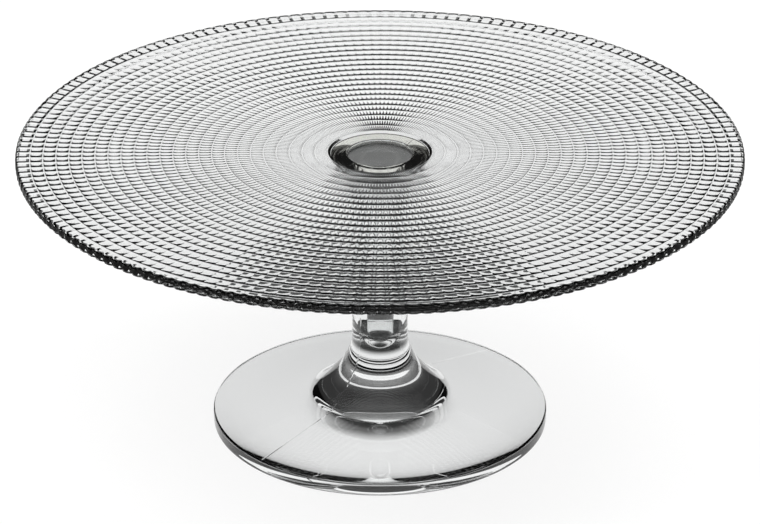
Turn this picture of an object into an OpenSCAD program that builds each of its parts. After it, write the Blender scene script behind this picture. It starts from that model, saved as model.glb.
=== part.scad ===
// Pressed glass cake stand: a round plate with a cushioned relief on its underside,
// bonded to a one-piece pedestal with a hollow stem and a heavy round foot.
// Millimetres, +Z up. The origin is the centre of the foot's resting face.

/* [Stand] */
// Height from the table to the top of the plate's rim
stand_h = 135; // [118:1:180]

/* [Plate] */
// Diameter of the plate
plate_d = 320; // [240:1:380]
// Thickness of the plate, from its top face to the crests of the relief
plate_t = 5; // [4:0.1:8]
// Rise of the rim above the flat middle of the plate
dish_rise = 2; // [0:0.1:6]
// Diameter of the flat middle of the plate's top face
flat_d = 80; // [60:1:140]
// Rounding of the rim's upper edge, and bevel of its lower edge
rim_round = 1.2; // [0.4:0.1:1.6]
// Diameter of the smooth round boss that the pedestal is bonded to
boss_d = 46; // [42:1:56]
// Height of the boss, from the crests of the relief down to its flat face
boss_rise = 1.5; // [0.3:0.1:3]
// Width of the slope round the boss
boss_bevel = 1.2; // [0.2:0.1:2]

/* [Relief] */
// Number of rings of cushions between the boss and the rim
ring_count = 24; // [8:1:30]
// Depth of the grooves between the rings
ring_depth = 0.45; // [0.2:0.05:0.7]
// Width of the flat floor of those grooves
groove_w = 0.5; // [0.3:0.1:1]
// Plain land between the last ring and the rim
ring_land = 0.6; // [0.2:0.1:2]

/* [Pedestal] */
// Diameter of the foot
foot_d = 151.4; // [120:0.1:190]
// Height of the foot's upright edge
foot_edge = 6.3; // [5:0.1:10]
// Rounding of the foot's upper and lower edges
foot_round = 1; // [0.4:0.1:2]
// Rise of the foot's top, from its edge to the toe of the flare
foot_rise = 7.6; // [4:0.1:9]
// Diameter of the flare's toe, where the stem spreads into the foot
flare_d = 63; // [56:1:76]
// Width of the soft bend between the foot's top and the flare
toe_w = 3; // [1:0.5:6]
// Diameter of the stem's waist
waist_d = 25; // [22:0.5:34]
// Height of the flare, from its toe to where it runs into the waist
flare_h = 28.2; // [24:0.1:40]
// Height of the upper flare, from the waist to the head
neck_h = 26; // [18:1:34]
// Diameter of the stem's head
head_d = 43.4; // [38:0.1:46]
// Height of the head's upright edge
head_edge = 1.8; // [1:0.1:3]
// Width of the flat ring that the foot rests on
rest_w = 9; // [6:0.5:16]
// Height of the hollow under the foot
foot_hollow = 2.9; // [0.5:0.1:3.8]

/* [Stem cavity] */
// Diameter of the cavity's mouth, under the plate
mouth_d = 29; // [24:0.5:32]
// Height of the funnel below the mouth
funnel_h = 30; // [26:1:34]
// Diameter of the cavity where the funnel ends
throat_d = 15; // [11:0.5:17]
// Diameter of the cavity above its round floor
bore_d = 12.4; // [8:0.1:15]
// Height of the cavity's floor above the toe of the flare
bore_floor = 22.5; // [18:0.5:36]
// Height over which the cavity's floor rounds off
bore_round = 9; // [5:0.5:12]

/* [Bond] */
// Thickness of the clear bond film between the head and the boss
bond_t = 0.2; // [0.1:0.05:0.5]
// Gap between the film's edges and the edges of what it bonds
bond_inset = 0.5; // [0.2:0.1:2]

/* [Hidden] */
$fn = 180;

// Levels, from the top down
serve_z = stand_h - dish_rise;
boss_z = serve_z - plate_t - boss_rise;
head_z = boss_z - bond_t;
neck_z = head_z - head_edge;
toe_z = foot_edge + foot_rise;
waist_z = toe_z + flare_h;
bore_z = toe_z + bore_floor;

// Radii
plate_r = plate_d / 2;
flat_r = flat_d / 2;
boss_r = boss_d / 2;
foot_r = foot_d / 2;
rest_r = foot_r - foot_round - rest_w;
flare_r = flare_d / 2;
waist_r = waist_d / 2;
head_r = head_d / 2;
mouth_r = mouth_d / 2;
throat_r = throat_d / 2;
bore_r = bore_d / 2;
bond_r = min(head_r, boss_r - boss_bevel) - bond_inset;
ring_out_r = plate_r - ring_land;
ring_pitch = (ring_out_r - boss_r) / ring_count;

// How finely the curves are drawn
dish_steps = 12;
corner_steps = 4;
curve_steps = 14;
floor_steps = 8;

// Degrees that the rim's upper edge and the foot's upper edge turn before they meet the faces above
rim_turn = 72;
foot_turn = 85;
// Rise of the dish over its width, as a power
dish_power = 1.5;
// Places across a ring of cushions, from its outer groove (1) to its inner groove (-1), and how far
// into the groove's depth the surface lies there
ring_rows = [[1, 1], [0.72, 0], [-0.5, 0], [-1, 1]];
// Steepness of the flare just above its toe, and how far it holds it
flare_slope = 0.65;
flare_hold = 6.5;
// Share of the flare's height at which it aims for the waist
flare_aim = 0.56;
// Where along the flare's curve the bend at its toe ends
toe_end = 0.14;
// Share of the neck's height below the head's edge to which the waist holds its direction
neck_aim = 0.45;
// How far in and how far down from the head's edge the neck's curve aims
head_aim = [5, 2.5];
// Lengths over which the funnel holds its direction, at the mouth and at the throat
mouth_hold = 9;
throat_hold = 16;
// Shares of the foot's radius to which its hollow is flat, and to which it holds its direction
hollow_flat = 0.3;
hollow_hold = 0.5;
// Width over which the hollow runs out into the resting ring
rest_run = 12;
// How far a cutter reaches past what it cuts
overcut = 1;

// Point at fraction t of a cubic curve through two ends and their two handles
function curve_point(a, b, c, d, t) =
    pow(1 - t, 3) * a + 3 * t * pow(1 - t, 2) * b + 3 * t * t * (1 - t) * c + t * t * t * d;

// Points of that curve, both ends in
function curve(a, b, c, d, steps) =
    [for (i = [0:steps]) curve_point(a, b, c, d, i / steps)];

// Points of an arc about a centre, from one angle to another
function arc(centre, r, from, to, steps) =
    [for (i = [0:steps]) let (a = from + (to - from) * i / steps) centre + r * [cos(a), sin(a)]];

// Height of the plate's top face at radius r: flat in the middle, then a shallow dish
function top_z(r) =
    serve_z + dish_rise * pow(max(0, r - flat_r) / (plate_r - flat_r), dish_power);

// Height of the relief's crests at radius r
function crest_z(r) = top_z(r) - plate_t;

// One ring of the relief in section, drawn inwards from its outer groove
function ring_section(i) =
    [for (row = ring_rows)
        let (r = boss_r + (i + 0.5) * ring_pitch + row[0] * (ring_pitch - groove_w) / 2)
        [r, crest_z(r) + ring_depth * row[1]]];

// Section of the plate from the axis, out along its top and back along the relief
function plate_section() = concat(
    [[0, serve_z]],
    [for (i = [0:dish_steps])
        let (r = flat_r + (plate_r - rim_round - flat_r) * i / dish_steps) [r, top_z(r)]],
    arc([plate_r - rim_round, top_z(plate_r - rim_round) - rim_round], rim_round, rim_turn, 0,
        corner_steps),
    [[plate_r, crest_z(plate_r) + ring_depth + rim_round],
     [ring_out_r, crest_z(ring_out_r) + ring_depth]],
    [for (i = [ring_count - 1:-1:0]) for (p = ring_section(i)) p],
    [[boss_r, crest_z(boss_r) + ring_depth], [boss_r - boss_bevel, boss_z], [0, boss_z]]
);

// Section of the foot, from the middle of its hollow, out along the table and over the edge
function foot_section() = concat(
    [[0, foot_hollow]],
    curve([foot_r * hollow_flat, foot_hollow], [foot_r * hollow_hold, foot_hollow],
          [rest_r - rest_run, 0], [rest_r, 0], curve_steps),
    arc([foot_r - foot_round, foot_round], foot_round, -90, 0, corner_steps),
    arc([foot_r - foot_round, foot_edge - foot_round], foot_round, 0, foot_turn, corner_steps)
);

// Ends and handles of the flare's curve, from its toe up to the waist
flare_toe = [flare_r, toe_z];
flare_low = flare_toe + flare_hold * [-1, flare_slope];
flare_high = [waist_r, toe_z + flare_h * flare_aim];
flare_end = [waist_r, waist_z];

// Where the foot's top, a cone, ends and the bend at the toe starts
foot_slope = foot_rise / (foot_r - flare_r);
foot_top = flare_toe + toe_w * [1, -foot_slope];

// Point at fraction t of the flare's curve
function flare_point(t) = curve_point(flare_toe, flare_low, flare_high, flare_end, t);

// Section of the stem's outer face, from the foot's top up to the head
function stem_section() = concat(
    curve(foot_top, flare_toe, flare_toe, flare_point(toe_end), corner_steps),
    [for (i = [1:curve_steps]) flare_point(toe_end + (1 - toe_end) * i / curve_steps)],
    curve([waist_r, neck_z - neck_h], [waist_r, neck_z - neck_h * neck_aim],
          [head_r, neck_z] - head_aim, [head_r, neck_z], curve_steps),
    [[head_r, head_z]]
);

// Section of the cavity, from its mouth down to its round floor
function cavity_section() = concat(
    curve([mouth_r, head_z], [mouth_r, head_z - mouth_hold],
          [throat_r, head_z - funnel_h + throat_hold], [throat_r, head_z - funnel_h], curve_steps),
    curve([bore_r, bore_z + bore_round], [bore_r, bore_z + bore_round / 2],
          [bore_r / 2, bore_z], [0, bore_z], floor_steps)
);

// The plate, in one pressed piece with its relief
module plate() {
    color([0.90, 0.92, 0.91, 0.5])
        rotate_extrude() polygon(plate_section());
}

// The foot and the hollow stem, in one pressed piece
module pedestal() {
    color([0.86, 0.89, 0.88, 0.6])
        rotate_extrude() polygon(concat(foot_section(), stem_section(), cavity_section()));
}

// The ring of clear adhesive that holds the head to the boss
module bond_film() {
    color([0.95, 0.95, 0.90])
        translate([0, 0, head_z])
            difference() {
                cylinder(r = bond_r, h = bond_t);
                translate([0, 0, -overcut])
                    cylinder(r = mouth_r + bond_inset, h = bond_t + 2 * overcut);
            }
}

plate();
pedestal();
bond_film();
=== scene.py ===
"""Looks of a clear pressed glass cake stand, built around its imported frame.

The stand has three pieces: a round plate with a cushioned relief pressed into its underside, a
pedestal with a hollow stem and a heavy round foot, and the thin ring of clear adhesive between
them.
Everything is in metres, +Z up, with the origin at the centre of the foot's resting face.
"""
import logging
import math
from dataclasses import dataclass
from typing import Any, Callable

import bpy
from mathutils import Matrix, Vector


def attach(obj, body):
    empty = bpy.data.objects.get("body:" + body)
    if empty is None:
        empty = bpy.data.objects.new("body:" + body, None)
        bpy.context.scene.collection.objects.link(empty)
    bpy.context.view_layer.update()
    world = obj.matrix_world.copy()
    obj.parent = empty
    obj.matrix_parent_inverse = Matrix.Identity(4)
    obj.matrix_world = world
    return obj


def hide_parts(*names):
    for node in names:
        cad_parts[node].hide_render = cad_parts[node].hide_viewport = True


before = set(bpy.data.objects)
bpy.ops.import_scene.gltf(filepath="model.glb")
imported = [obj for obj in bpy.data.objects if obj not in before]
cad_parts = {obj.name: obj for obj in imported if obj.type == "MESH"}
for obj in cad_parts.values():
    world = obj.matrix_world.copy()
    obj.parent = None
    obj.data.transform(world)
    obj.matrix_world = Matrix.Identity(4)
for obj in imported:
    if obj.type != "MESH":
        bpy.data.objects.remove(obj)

LOG = logging.getLogger("cake_stand")
MM = 0.001
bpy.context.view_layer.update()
# Vertices closer than this are one: it closes the seams that spinning leaves
SAME_PLACE = 0.002 * MM

Point = tuple[float, float]
Place = tuple[float, float, float]
Tree = bpy.types.NodeTree
Socket = bpy.types.NodeSocket


# ---------------------------------------------------------------- shared tools


def linear(code: str) -> tuple[float, float, float, float]:
    """Turns an sRGB hex colour into the linear colour that Blender's shaders take.

    Args:
        code: The colour, such as "#F4F6F5".

    Returns:
        Red, green and blue from 0 to 1, and an alpha of 1.
    """
    parts = [int(code[i:i + 2], 16) / 255 for i in (1, 3, 5)]
    red, green, blue = (c / 12.92 if c <= 0.04045 else ((c + 0.055) / 1.055) ** 2.4 for c in parts)
    return red, green, blue, 1.0


def add_node(tree: Tree, kind: str, inputs: dict[Any, Any] | None = None,
             **settings: Any) -> bpy.types.Node:
    """Adds a shader node, sets its properties, and sets or links its inputs.

    Args:
        tree: The node tree that the node joins.
        kind: The node's type name, without its "ShaderNode" prefix.
        inputs: Input name or index to a value, or to an output socket that it is linked from.
        **settings: Properties of the node itself.

    Returns:
        The new node.
    """
    node = tree.nodes.new("ShaderNode" + kind)
    for name, value in settings.items():
        setattr(node, name, value)
    for key, value in (inputs or {}).items():
        if isinstance(value, Socket):
            tree.links.new(value, node.inputs[key])
        else:
            node.inputs[key].default_value = value
    return node


def compute(tree: Tree, operation: str, *values: Socket | float) -> Socket:
    """Does a sum with up to three numbers, by a math node, and returns its result."""
    return add_node(tree, "Math", dict(enumerate(values)), operation=operation).outputs[0]


def multiply(tree: Tree, *values: Socket | float) -> Socket:
    """Multiplies values with each other."""
    result = values[0]
    for value in values[1:]:
        result = compute(tree, "MULTIPLY", result, value)
    return result


def empty_material(name: str) -> bpy.types.Material:
    """Makes a material with a node tree that holds only its output."""
    material = bpy.data.materials.new(name)
    material.use_nodes = True
    material.node_tree.nodes.clear()
    add_node(material.node_tree, "OutputMaterial")
    return material


def link_surface(material: bpy.types.Material, shader: Socket) -> None:
    """Links a shader to the surface of a material's output."""
    output = next(n for n in material.node_tree.nodes if n.type == "OUTPUT_MATERIAL")
    material.node_tree.links.new(shader, output.inputs["Surface"])


def curve(start: Point, first: Point, second: Point, end: Point, steps: int) -> list[Point]:
    """Points of a cubic curve.

    Args:
        start: Where the curve starts.
        first: The handle of its start.
        second: The handle of its end.
        end: Where it ends.
        steps: Number of stretches between the points.

    Returns:
        The points, with both ends.
    """
    points = []
    for i in range(steps + 1):
        t = i / steps
        shares = ((1 - t) ** 3, 3 * t * (1 - t) ** 2, 3 * t * t * (1 - t), t ** 3)
        handles = (start, first, second, end)
        points.append(tuple(sum(s * h[axis] for s, h in zip(shares, handles)) for axis in (0, 1)))
    return points


def arc(centre: Point, radius: float, start: float, end: float, steps: int) -> list[Point]:
    """Points of an arc about a centre, from one angle to another in degrees."""
    angles = [math.radians(start + (end - start) * i / steps) for i in range(steps + 1)]
    return [(centre[0] + radius * math.cos(a), centre[1] + radius * math.sin(a)) for a in angles]


def deselect_all() -> None:
    """Leaves nothing selected, so that an operator acts only on what is added next."""
    bpy.ops.object.select_all(action="DESELECT")


def draw_section(name: str, points: list[Point]) -> bpy.types.Object:
    """Draws a section in the XZ plane by extruding one vertex from point to point.

    Args:
        name: Name of the new piece.
        points: Radius and height of each point, in order.

    Returns:
        The piece, left in edit mode with all of its vertices selected.
    """
    deselect_all()
    bpy.ops.mesh.primitive_plane_add(size=MM, location=(0, 0, 0))
    piece = bpy.context.object
    piece.name = piece.data.name = name
    bpy.ops.object.mode_set(mode="EDIT")
    bpy.ops.mesh.select_mode(type="VERT")
    bpy.ops.mesh.merge(type="CENTER")
    bpy.ops.transform.translate(value=(points[0][0], 0, points[0][1]))
    for here, there in zip(points, points[1:]):
        step = (there[0] - here[0], 0, there[1] - here[1])
        bpy.ops.mesh.extrude_region_move(TRANSFORM_OT_translate={"value": step})
    bpy.ops.mesh.select_all(action="SELECT")
    return piece


def turn(angle: float, steps: int, copies: bool = False) -> None:
    """Spins what is selected about the stand's axis.

    Args:
        angle: How far, in radians.
        steps: Number of steps.
        copies: Whether each step is a separate copy and not a new stretch of surface.
    """
    bpy.ops.mesh.spin(steps=steps, angle=angle, dupli=copies, center=(0, 0, 0), axis=(0, 0, 1))


def close_mesh() -> None:
    """Joins the vertices that share a place, and turns all faces outwards."""
    bpy.ops.mesh.select_all(action="SELECT")
    bpy.ops.mesh.remove_doubles(threshold=SAME_PLACE)
    bpy.ops.mesh.select_all(action="SELECT")
    bpy.ops.mesh.normals_make_consistent(inside=False)


def from_axis(place: Vector) -> float:
    """Distance of a place from the stand's axis."""
    return math.hypot(place.x, place.y)


def select_vertices(piece: bpy.types.Object, wanted: Callable[[Vector], bool]) -> int:
    """Selects the vertices of the piece in edit mode that lie where a test says.

    Args:
        piece: The piece in edit mode.
        wanted: Tells from a vertex's place whether it is selected.

    Returns:
        How many vertices are selected.
    """
    bpy.ops.mesh.select_mode(type="VERT")
    bpy.ops.mesh.select_all(action="DESELECT")
    bpy.ops.object.mode_set(mode="OBJECT")
    count = 0
    for vertex in piece.data.vertices:
        vertex.select = wanted(vertex.co)
        count += vertex.select
    bpy.ops.object.mode_set(mode="EDIT")
    return count


def select_edges(piece: bpy.types.Object, wanted: Callable[[Vector, Vector], bool]) -> int:
    """Selects the edges of the piece in edit mode whose two ends pass a test.

    Args:
        piece: The piece in edit mode.
        wanted: Tells from an edge's two ends whether it is selected.

    Returns:
        How many edges are selected.
    """
    bpy.ops.mesh.select_mode(type="EDGE")
    bpy.ops.mesh.select_all(action="DESELECT")
    bpy.ops.object.mode_set(mode="OBJECT")
    corners = piece.data.vertices
    count = 0
    for edge in piece.data.edges:
        edge.select = wanted(corners[edge.vertices[0]].co, corners[edge.vertices[1]].co)
        count += edge.select
    bpy.ops.object.mode_set(mode="EDIT")
    return count


# -------------------------------------------------------------------- finishes


@dataclass(frozen=True)
class PressedGlass:
    """Clear soda-lime glass, pressed in a polished iron mould and fire-polished.

    It is colourless and sharp, with the soft unevenness that a flame leaves on pressed glass. It
    has the seams of its mould where their direction is given.
    """

    name: str
    ior: float = 1.52
    tint: str = "#FDFEFE"
    roughness: float = 0.0
    wave_mm: float = 14.0
    wave_height_mm: float = 0.004
    seam_angle: float | None = None
    seam_width_mm: float = 0.4
    seam_height_mm: float = 0.07
    seam_from_mm: float = 5.0

    def material(self) -> bpy.types.Material:
        """Makes the glass, with its unevenness as a faint bump."""
        material = empty_material(self.name)
        tree = material.node_tree
        place = add_node(tree, "TexCoord")
        wave = add_node(tree, "TexNoise", {
            "Vector": place.outputs["Object"], "Scale": 1 / (self.wave_mm * MM),
            "Detail": 1.0, "Roughness": 0.4,
        })
        height = compute(tree, "MULTIPLY", wave.outputs["Fac"], self.wave_height_mm)
        if self.seam_angle is not None:
            height = compute(tree, "ADD", height, self.seam(tree, place.outputs["Object"]))
        bump = add_node(tree, "Bump", {"Height": height, "Strength": 1.0, "Distance": MM})
        glass = add_node(tree, "BsdfPrincipled", {
            "Base Color": linear(self.tint), "Roughness": self.roughness, "IOR": self.ior,
            "Transmission Weight": 1.0, "Normal": bump.outputs["Normal"],
        })
        link_surface(material, glass.outputs["BSDF"])
        return material

    def seam(self, tree: Tree, place: Socket) -> Socket:
        """Makes the two thin lines where the halves of the mould met, on either side of the axis.

        A real seam is a hair's breadth. It is drawn wider, so that it shows.

        Args:
            tree: The glass's node tree.
            place: The place on the piece.

        Returns:
            The height of the seam, in millimetres.
        """
        across = (math.sin(self.seam_angle), -math.cos(self.seam_angle), 0)
        aside = add_node(tree, "VectorMath", {0: place, 1: across}, operation="DOT_PRODUCT")
        ridge = add_node(tree, "MapRange", {
            "Value": compute(tree, "ABSOLUTE", aside.outputs["Value"]),
            "From Min": 0.0, "From Max": self.seam_width_mm * MM,
            "To Min": self.seam_height_mm, "To Max": 0.0,
        })
        parts = add_node(tree, "SeparateXYZ", {0: place})
        above = compute(tree, "GREATER_THAN", parts.outputs["Z"], self.seam_from_mm * MM)
        return compute(tree, "MULTIPLY", ridge.outputs[0], above)


@dataclass(frozen=True)
class ClearAdhesive:
    """Acrylic adhesive hardened by light: as clear as the glass, and a trace warmer."""

    name: str = "light_cured_clear_adhesive"
    ior: float = 1.50
    tint: str = "#FDFCF6"
    roughness: float = 0.02
    ripple_mm: float = 3.0
    ripple_height_mm: float = 0.002

    def material(self) -> bpy.types.Material:
        """Makes the adhesive, with the fine ripple of a film that was pressed flat."""
        material = empty_material(self.name)
        tree = material.node_tree
        place = add_node(tree, "TexCoord")
        ripple = add_node(tree, "TexNoise", {
            "Vector": place.outputs["Object"], "Scale": 1 / (self.ripple_mm * MM), "Detail": 2.0,
        })
        bump = add_node(tree, "Bump", {
            "Height": ripple.outputs["Fac"], "Strength": 1.0,
            "Distance": self.ripple_height_mm * MM,
        })
        film = add_node(tree, "BsdfPrincipled", {
            "Base Color": linear(self.tint), "Roughness": self.roughness, "IOR": self.ior,
            "Transmission Weight": 1.0, "Normal": bump.outputs["Normal"],
        })
        link_surface(material, film.outputs["BSDF"])
        return material


# ---------------------------------------------------------------------- pieces


@dataclass
class Plate:
    """The round plate: smooth on top, with rings of small cushions pressed into its underside.

    ring_rows gives places across a ring, from its outer groove at 1 to its inner groove at -1, and
    how far into the groove's depth the surface lies there. rib_columns gives places across one
    rib's sector, from one valley at 0 to the next at 1. The last five values only tell vertices
    apart: those on a valley, past the boss, past an edge, on a groove's floor and on the underside.
    """

    radius: float = 160 * MM
    rim_z: float = 135 * MM
    dish_rise: float = 2 * MM
    dish_power: float = 1.5
    flat_radius: float = 40 * MM
    thickness: float = 5 * MM
    boss_radius: float = 23 * MM
    boss_rise: float = 1.5 * MM
    boss_bevel: float = 1.2 * MM
    rim_round: float = 1.2 * MM
    ring_count: int = 24
    ring_land: float = 0.6 * MM
    rib_count: int = 180
    ring_depth: float = 0.45 * MM
    inner_depth: float = 0.2 * MM
    full_depth_at: float = 70 * MM
    rib_depth: float = 0.36 * MM
    rim_dent: float = 0.8 * MM
    groove_width: float = 0.5 * MM
    ring_rows: tuple[Point, ...] = ((1.0, 1.0), (0.72, 0.0), (-0.5, 0.0), (-1.0, 1.0))
    rib_columns: tuple[float, ...] = (0.0, 0.31, 0.69, 1.0)
    dish_steps: int = 5
    edge_loop: float = 0.4 * MM
    rim_turn: float = 60
    rim_steps: int = 2
    on_valley: float = 0.01
    clear_of_boss: float = 0.1 * MM
    clear_of_edge: float = 0.05 * MM
    groove_share: float = 0.9
    underside: float = 1 / 3

    @property
    def sector(self) -> float:
        """The angle that one rib takes, in radians."""
        return math.tau / self.rib_count

    @property
    def shoulder(self) -> float:
        """Radius at which the rim's rounding starts."""
        return self.radius - self.rim_round

    @property
    def ring_outer(self) -> float:
        """Radius at which the last ring ends."""
        return self.radius - self.ring_land

    @property
    def pitch(self) -> float:
        """Width of one ring."""
        return (self.ring_outer - self.boss_radius) / self.ring_count

    def top_z(self, r: float) -> float:
        """Height of the top face at radius r: flat in the middle, then a shallow dish."""
        out = max(0.0, r - self.flat_radius) / (self.radius - self.flat_radius)
        return self.rim_z - self.dish_rise + self.dish_rise * out ** self.dish_power

    def depth_at(self, r: float) -> float:
        """Depth of the rings' grooves at radius r, which grows from the boss outwards."""
        out = min(1.0, max(0.0, r - self.boss_radius) / (self.full_depth_at - self.boss_radius))
        return self.inner_depth + (self.ring_depth - self.inner_depth) * out

    def depth_of(self, place: Vector) -> float:
        """How deep a place lies in the relief, measured up from the crests around it."""
        return place.z - self.top_z(from_axis(place)) + self.thickness

    def relief_section(self) -> list[Point]:
        """Section along the crest of one rib, from the outermost ring in to the boss."""
        points = []
        half = (self.pitch - self.groove_width) / 2
        for i in reversed(range(self.ring_count)):
            middle = self.boss_radius + (i + 0.5) * self.pitch
            for place, share in self.ring_rows:
                r = middle + place * half
                points.append((r, self.top_z(r) - self.thickness + self.depth_at(r) * share))
        return points

    def section(self) -> list[Point]:
        """Section of the plate from the axis, out along the top and back along the underside."""
        serve_z = self.rim_z - self.dish_rise
        shoulder = self.shoulder
        dish = shoulder - self.edge_loop - self.flat_radius
        top = [self.flat_radius + dish * i / self.dish_steps for i in range(self.dish_steps + 1)]
        rim_centre = (shoulder, self.top_z(shoulder) - self.rim_round)
        groove_z = self.ring_depth - self.thickness
        toe = self.ring_outer
        return [
            (0, serve_z),
            *[(r, self.top_z(r)) for r in (*top, shoulder)],
            *arc(rim_centre, self.rim_round, self.rim_turn, 0, self.rim_steps),
            (self.radius, self.top_z(self.radius) + groove_z + self.rim_round),
            (toe, self.top_z(toe) + groove_z),
            *self.relief_section(),
            (self.boss_radius, serve_z - self.thickness + self.depth_at(self.boss_radius)),
            (self.boss_radius - self.boss_bevel, serve_z - self.thickness - self.boss_rise),
            (0, serve_z - self.thickness - self.boss_rise),
        ]

    def press_ribs(self, piece: bpy.types.Object) -> None:
        """Presses the valleys beside one rib into the crests, and dents the rim at their ends."""
        for angle in (0.0, self.sector):

            def on_column(place: Vector, angle: float = angle) -> bool:
                aside = abs(math.atan2(place.y, place.x)) - angle
                return abs(aside) < self.sector * self.on_valley

            def on_crest(place: Vector) -> bool:
                r = from_axis(place)
                crest = self.depth_of(place) < self.depth_at(r) / 2
                return on_column(place) and crest and r > self.boss_radius + self.clear_of_boss

            def on_rim(place: Vector) -> bool:
                return on_column(place) and from_axis(place) > self.shoulder + self.clear_of_edge

            select_vertices(piece, on_crest)
            bpy.ops.transform.translate(value=(0, 0, self.rib_depth))
            select_vertices(piece, on_rim)
            inwards = (-self.rim_dent * math.cos(angle), self.rim_dent * math.sin(angle), 0)
            bpy.ops.transform.translate(value=inwards)

    def mark_creases(self, piece: bpy.types.Object) -> None:
        """Marks the grooves, boss and rim as sharp, so that each cushion is shaded as a pillow."""
        rim_low = self.top_z(self.shoulder) - self.rim_round
        boss_side = self.boss_radius - self.boss_bevel - self.clear_of_boss
        boss_foot = self.boss_radius + self.clear_of_boss
        last_ring = self.ring_outer - self.pitch + self.clear_of_edge

        def is_low(place: Vector) -> bool:
            r = from_axis(place)
            level = min(self.top_z(r), rim_low) - self.thickness * self.underside
            return r > boss_side and place.z < level

        def is_deep(place: Vector) -> bool:
            r = from_axis(place)
            groove = self.groove_share * min(self.rib_depth, self.depth_at(r))
            return r < boss_foot or self.depth_of(place) > groove

        def is_sharp(one: Vector, other: Vector) -> bool:
            in_rim = max(from_axis(one), from_axis(other)) > last_ring
            deep = is_deep(one) and is_deep(other)
            return is_low(one) and is_low(other) and (in_rim or deep)

        select_edges(piece, is_sharp)
        bpy.ops.mesh.mark_sharp()

    def build(self) -> bpy.types.Object:
        """Models one rib's sector, and copies it round the axis into the whole plate."""
        piece = draw_section("plate_pressed", self.section())
        for here, there in zip(self.rib_columns, self.rib_columns[1:]):
            turn(self.sector * (there - here), 1)
        self.press_ribs(piece)
        bpy.ops.mesh.select_all(action="SELECT")
        turn(math.tau - self.sector, self.rib_count - 1, copies=True)
        close_mesh()
        bpy.ops.object.mode_set(mode="OBJECT")
        bpy.ops.object.shade_smooth()
        bpy.ops.object.mode_set(mode="EDIT")
        self.mark_creases(piece)
        bpy.ops.object.mode_set(mode="OBJECT")
        return piece

    def dress(self, piece: bpy.types.Object) -> None:
        """Gives the plate its glass, and puts it in the place of its node."""
        piece.data.materials.append(PressedGlass("pressed_soda_lime_glass").material())
        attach(piece, "root")
        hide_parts("plate")


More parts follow.
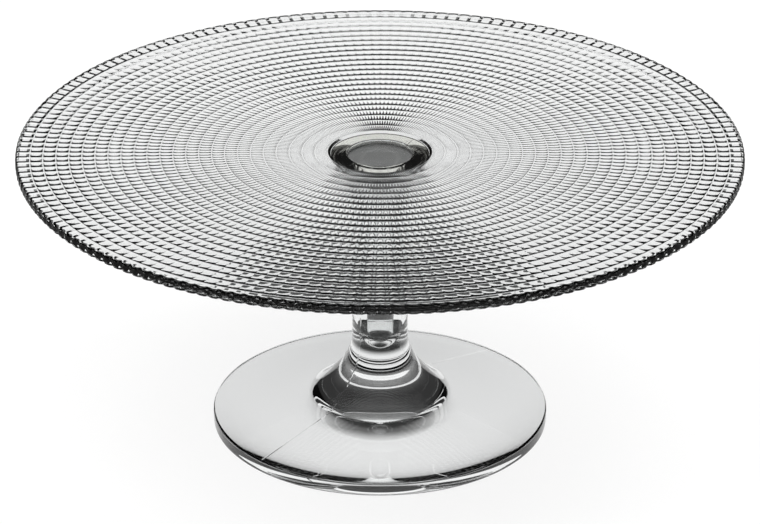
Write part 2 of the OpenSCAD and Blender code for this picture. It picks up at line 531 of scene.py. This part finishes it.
@dataclass
class Pedestal:
    """The foot and the hollow stem, in one pressed piece."""

    foot_radius: float = 75.7 * MM
    foot_edge: float = 6.3 * MM
    foot_round: float = 1.0 * MM
    foot_rise: float = 7.6 * MM
    rest_width: float = 9 * MM
    hollow: float = 2.9 * MM
    flare_radius: float = 31.5 * MM
    toe_width: float = 3 * MM
    flare_height: float = 28.2 * MM
    waist_radius: float = 12.5 * MM
    neck_height: float = 26 * MM
    head_radius: float = 21.7 * MM
    head_edge: float = 1.8 * MM
    head_z: float = 126.3 * MM
    mouth_radius: float = 14.5 * MM
    throat_radius: float = 7.5 * MM
    bore_radius: float = 6.2 * MM
    bore_floor: float = 22.5 * MM
    bore_round: float = 9 * MM
    hollow_flat: float = 0.3
    hollow_hold: float = 0.5
    rest_run: float = 12 * MM
    foot_turn: float = 85
    flare_slope: float = 0.65
    flare_hold: float = 6.5 * MM
    flare_aim: float = 0.56
    neck_aim: float = 0.45
    head_aim: Point = (5 * MM, 2.5 * MM)
    mouth_hold: float = 9 * MM
    throat_from: float = 14 * MM
    funnel_height: float = 30 * MM
    curve_steps: int = 22
    bend_from: int = 3
    corner_steps: int = 5
    floor_steps: int = 12
    around: int = 192
    smooth_under: float = math.radians(35)

    def foot_section(self) -> list[Point]:
        """Section of the foot, from the middle of its hollow, along the table and over the edge."""
        edge = self.foot_radius - self.foot_round
        rest = edge - self.rest_width
        low, high = (edge, self.foot_round), (edge, self.foot_edge - self.foot_round)
        return [
            (0, self.hollow),
            *curve((self.foot_radius * self.hollow_flat, self.hollow),
                   (self.foot_radius * self.hollow_hold, self.hollow),
                   (rest - self.rest_run, 0), (rest, 0), self.curve_steps // 2),
            *arc(low, self.foot_round, -90, 0, self.corner_steps),
            *arc(high, self.foot_round, 0, self.foot_turn, self.corner_steps),
        ]

    def stem_section(self) -> list[Point]:
        """Section of the stem's outer face, from the foot's top up to the head.

        The foot's top is a cone. A soft bend, in place of the flare's first points, leads from it
        into the flare.

        Returns:
            The section's points.
        """
        toe_z = self.foot_edge + self.foot_rise
        neck_z = self.head_z - self.head_edge
        aim_in, aim_down = self.head_aim
        toe = (self.flare_radius, toe_z)
        low = (self.flare_radius - self.flare_hold, toe_z + self.flare_hold * self.flare_slope)
        high = (self.waist_radius, toe_z + self.flare_height * self.flare_aim)
        waist = (self.waist_radius, toe_z + self.flare_height)
        flare = curve(toe, low, high, waist, self.curve_steps)
        cone = self.foot_rise / (self.foot_radius - self.flare_radius)
        foot_top = (self.flare_radius + self.toe_width, toe_z - self.toe_width * cone)
        return [
            *curve(foot_top, toe, toe, flare[self.bend_from], self.corner_steps),
            *flare[self.bend_from + 1:],
            *curve((self.waist_radius, neck_z - self.neck_height),
                   (self.waist_radius, neck_z - self.neck_height * self.neck_aim),
                   (self.head_radius - aim_in, neck_z - aim_down), (self.head_radius, neck_z),
                   self.curve_steps),
            (self.head_radius, self.head_z),
        ]

    def cavity_section(self) -> list[Point]:
        """Section of the cavity, from its mouth down to its round floor."""
        bore_z = self.foot_edge + self.foot_rise + self.bore_floor
        return [
            *curve((self.mouth_radius, self.head_z),
                   (self.mouth_radius, self.head_z - self.mouth_hold),
                   (self.throat_radius, self.head_z - self.throat_from),
                   (self.throat_radius, self.head_z - self.funnel_height), self.curve_steps),
            *curve((self.bore_radius, bore_z + self.bore_round),
                   (self.bore_radius, bore_z + self.bore_round / 2),
                   (self.bore_radius / 2, bore_z), (0, bore_z), self.floor_steps),
        ]

    def build(self) -> bpy.types.Object:
        """Spins the section round the axis, and shades it smooth except at its corners."""
        points = self.foot_section() + self.stem_section() + self.cavity_section()
        piece = draw_section("pedestal_pressed", points)
        turn(math.tau, self.around)
        close_mesh()
        bpy.ops.object.mode_set(mode="OBJECT")
        bpy.ops.object.shade_smooth_by_angle(angle=self.smooth_under)
        return piece

    def dress(self, piece: bpy.types.Object) -> None:
        """Gives the pedestal its glass, and puts it in the place of its node."""
        glass = PressedGlass("pressed_soda_lime_glass_foot", wave_mm=22.0, wave_height_mm=0.01,
                             seam_angle=math.radians(-134))
        piece.data.materials.append(glass.material())
        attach(piece, "root")
        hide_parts("pedestal")


@dataclass
class BondFilm:
    """The ring of clear adhesive between the pedestal's head and the plate's boss."""

    inner_radius: float = 15 * MM
    outer_radius: float = 21.2 * MM
    low_z: float = 126.3 * MM
    high_z: float = 126.5 * MM
    bite: float = 0.02 * MM
    bulge: float = 0.12 * MM
    around: int = 128
    smooth_under: float = math.radians(30)

    def build(self) -> bpy.types.Object:
        """Spins the film's section, with its edges bulging as surplus adhesive does."""
        low, high = self.low_z - self.bite, self.high_z + self.bite
        middle = (low + high) / 2
        inner, outer = self.inner_radius, self.outer_radius
        points = [
            (inner, low), (outer, low), (outer + self.bulge, middle), (outer, high),
            (inner, high), (inner - self.bulge, middle), (inner, low),
        ]
        piece = draw_section("bond_film_clear", points)
        turn(math.tau, self.around)
        close_mesh()
        bpy.ops.object.mode_set(mode="OBJECT")
        bpy.ops.object.shade_smooth_by_angle(angle=self.smooth_under)
        return piece

    def dress(self, piece: bpy.types.Object) -> None:
        """Gives the film its adhesive, and puts it in the place of its node."""
        piece.data.materials.append(ClearAdhesive().material())
        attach(piece, "root")
        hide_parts("bond_film")


# ---------------------------------------------------------------------- studio


@dataclass
class Studio:
    """The pale floor, the soft light and the camera.

    sky gives the room's brightness by height, from the horizon at 0 to straight up at 1. The values
    for the patch and the slot set the light and shade painted on the floor, which only glass sees.
    """

    camera_place: Place = (0, -1.4523, 0.7757)
    camera_tilt: float = math.radians(64.32)
    camera_reach: float = 20
    lens_mm: float = 170.8
    floor_radius: float = 3.0
    floor_sides: int = 96
    floor_colour: str = "#F7F7F6"
    floor_shadow: float = 0.12
    floor_gap: float = 0.1 * MM
    sky: tuple[Point, ...] = ((0.4, 0.03), (0.75, 0.05), (0.85, 1.0), (1.0, 1.0))
    # The patch: light painted on the floor for glass, a strip behind and a disc under the foot.
    patch_half: float = 0.22
    patch_near: float = -0.03
    patch_far: float = 0.6
    patch_under: float = 0.08
    # Radius of the painted shadow on the floor under the stem.
    patch_core: float = 0.014
    patch_edge: float = 0.02
    # Level of the painted dark on the rest of the floor, as glass sees it.
    patch_dark: float = 0.03
    # The slot: a narrow strip of painted light on the floor, seen through more glass.
    slot_half: float = 0.05
    slot_near: float = 0.09
    slot_far: float = 0.2
    slot_step: float = 0.12
    slot_from: float = 2.5
    step_from: float = 4.5
    lamps: tuple[Place, ...] = ((-0.9, -0.4, 1.6), (0.9, 0.3, 1.6))
    lamp_power: float = 34.0
    lamp_size: float = 1.2

    def place_camera(self) -> None:
        """Puts the camera where the stand was seen from."""
        data = bpy.data.cameras.new("camera")
        data.lens = self.lens_mm
        data.clip_end = self.camera_reach
        camera = bpy.data.objects.new("camera", data)
        camera.location = self.camera_place
        camera.rotation_euler = (self.camera_tilt, 0, 0)
        bpy.context.scene.collection.objects.link(camera)
        bpy.context.scene.camera = camera

    def lay_floor(self) -> None:
        """Lays the pale floor, with painted light and shade for glass and the stand's own shadow.
        """
        deselect_all()
        bpy.ops.mesh.primitive_circle_add(vertices=self.floor_sides, radius=self.floor_radius,
                                          fill_type="NGON", location=(0, 0, -self.floor_gap))
        floor = bpy.context.object
        floor.name = floor.data.name = "floor"
        material = empty_material("white_card")
        tree = material.node_tree
        path = add_node(tree, "LightPath").outputs
        seen = compute(tree, "MAXIMUM", path["Is Camera Ray"], path["Is Glossy Ray"])
        seen = compute(tree, "MAXIMUM", seen, path["Is Transmission Ray"])
        share = multiply(tree, seen, 1 - self.floor_shadow)
        card = add_node(tree, "BsdfDiffuse", {"Color": linear(self.floor_colour)})
        # Painted light and shade on the floor, seen only in glass; the camera sees plain white.
        strength = self.painted_light_patch(tree)
        white = add_node(tree, "Emission", {"Color": (1, 1, 1, 1), "Strength": strength})
        mixed = add_node(tree, "MixShader", {0: share, 1: card.outputs[0], 2: white.outputs[0]})
        link_surface(material, mixed.outputs[0])
        floor.data.materials.append(material)

    def painted_light_patch(self, tree: Tree) -> Socket:
        """Makes the floor white to the camera, and paints light and shade on it that only glass
        sees.

        The painted light is a wide strip that runs back from under the stand, and a disc under the
        foot, with a painted shadow at its core under the stem. Light that has gone through more
        glass sees only a narrow painted slot of light behind the foot, which comes nearer for light
        that has gone through the most. Elsewhere the floor is painted dark to glass, which draws
        the lines of the relief and the stem.

        Args:
            tree: The floor's node tree.

        Returns:
            The strength of the floor's white, and of the light and shade painted on it.
        """
        place = add_node(tree, "TexCoord").outputs["Object"]
        parts = add_node(tree, "SeparateXYZ", {0: place}).outputs
        off = add_node(tree, "VectorMath", {0: place}, operation="LENGTH").outputs["Value"]
        path = add_node(tree, "LightPath").outputs
        aside, back = compute(tree, "ABSOLUTE", parts["X"]), parts["Y"]
        depth = path["Transmission Depth"]

        # Painted shadow under the stem, inside a painted disc of light under the foot.
        painted_stem_shadow = self.fade(tree, off, self.patch_core, 0, 1)
        disc = multiply(tree, self.fade(tree, off, self.patch_under, 1, 0), painted_stem_shadow)
        # Painted strip of light, running back from under the stand.
        strip = multiply(tree, self.fade(tree, aside, self.patch_half, 1, 0),
                         self.fade(tree, back, self.patch_near, 0, 1),
                         self.fade(tree, back, self.patch_far, 1, 0))
        patch = multiply(tree, compute(tree, "MAXIMUM", strip, disc), painted_stem_shadow)

        # Painted slot of light for rays through more glass, nearer for those through the most.
        most = compute(tree, "GREATER_THAN", depth, self.step_from)
        stepped = compute(tree, "MULTIPLY_ADD", most, self.slot_step, back)
        slot = multiply(tree, self.fade(tree, aside, self.slot_half, 1, 0),
                        self.fade(tree, stepped, self.slot_near, 0, 1),
                        self.fade(tree, back, self.slot_far, 1, 0))

        more = compute(tree, "GREATER_THAN", depth, self.slot_from)
        painted_level = add_node(tree, "Mix", {0: more, 2: patch, 3: slot}).outputs[0]
        # Outside the painted light, glass sees the floor painted dark.
        painted_level = compute(tree, "MAXIMUM", painted_level, self.patch_dark)
        return compute(tree, "MAXIMUM", painted_level, path["Is Camera Ray"])

    def fade(self, tree: Tree, value: Socket, start: float, first: float, last: float) -> Socket:
        """Fades from one level to another over the patch's soft edge, from a start on."""
        return add_node(tree, "MapRange", {
            "Value": value, "From Min": start, "From Max": start + self.patch_edge,
            "To Min": first, "To Max": last,
        }, interpolation_type="SMOOTHSTEP").outputs[0]

    def light_world(self) -> None:
        """Makes the room: white to the camera, and else dark apart from a soft light overhead."""
        world = bpy.data.worlds.new("studio")
        bpy.context.scene.world = world
        world.use_nodes = True
        tree = world.node_tree
        tree.nodes.clear()
        place = add_node(tree, "TexCoord")
        parts = add_node(tree, "SeparateXYZ", {0: place.outputs["Generated"]})
        band = add_node(tree, "ValToRGB", {0: parts.outputs["Z"]})
        stops = band.color_ramp.elements
        for height, _ in self.sky[2:]:
            stops.new(height)
        for stop, (height, level) in zip(stops, self.sky):
            stop.position = height
            stop.color = (level, level, level, 1)
        camera = add_node(tree, "LightPath").outputs["Is Camera Ray"]
        strength = compute(tree, "MAXIMUM", band.outputs["Color"], camera)
        sky = add_node(tree, "Background", {"Color": (1, 1, 1, 1), "Strength": strength})
        output = add_node(tree, "OutputWorld")
        tree.links.new(sky.outputs[0], output.inputs["Surface"])

    def hang_lamps(self) -> None:
        """Hangs soft lamps that cast the stand's shadow on the floor and aren't seen in glass."""
        for name, place in zip(("lamp_left", "lamp_right"), self.lamps):
            data = bpy.data.lights.new(name, "AREA")
            data.energy = self.lamp_power
            data.size = self.lamp_size
            lamp = bpy.data.objects.new(name, data)
            lamp.location = place
            lamp.visible_glossy = lamp.visible_transmission = False
            lamp.rotation_euler = (-Vector(place)).to_track_quat("-Z", "Y").to_euler()
            bpy.context.scene.collection.objects.link(lamp)

    def build(self) -> None:
        """Sets the view transform, and puts up the camera, floor, world and lamps."""
        bpy.context.scene.view_settings.view_transform = "Standard"
        self.place_camera()
        self.lay_floor()
        self.light_world()
        self.hang_lamps()


def count_triangles(piece: bpy.types.Object) -> int:
    """Number of triangles in a piece's mesh."""
    return sum(len(face.vertices) - 2 for face in piece.data.polygons)


def main() -> None:
    """Builds the stand's pieces and the studio around them."""
    logging.basicConfig(level=logging.INFO, format="%(name)s: %(message)s")
    Studio().build()
    for part in (Plate(), Pedestal(), BondFilm()):
        piece = part.build()
        part.dress(piece)
        LOG.info("%s: %d triangles", piece.name, count_triangles(piece))


if __name__ == "__main__":
    main()
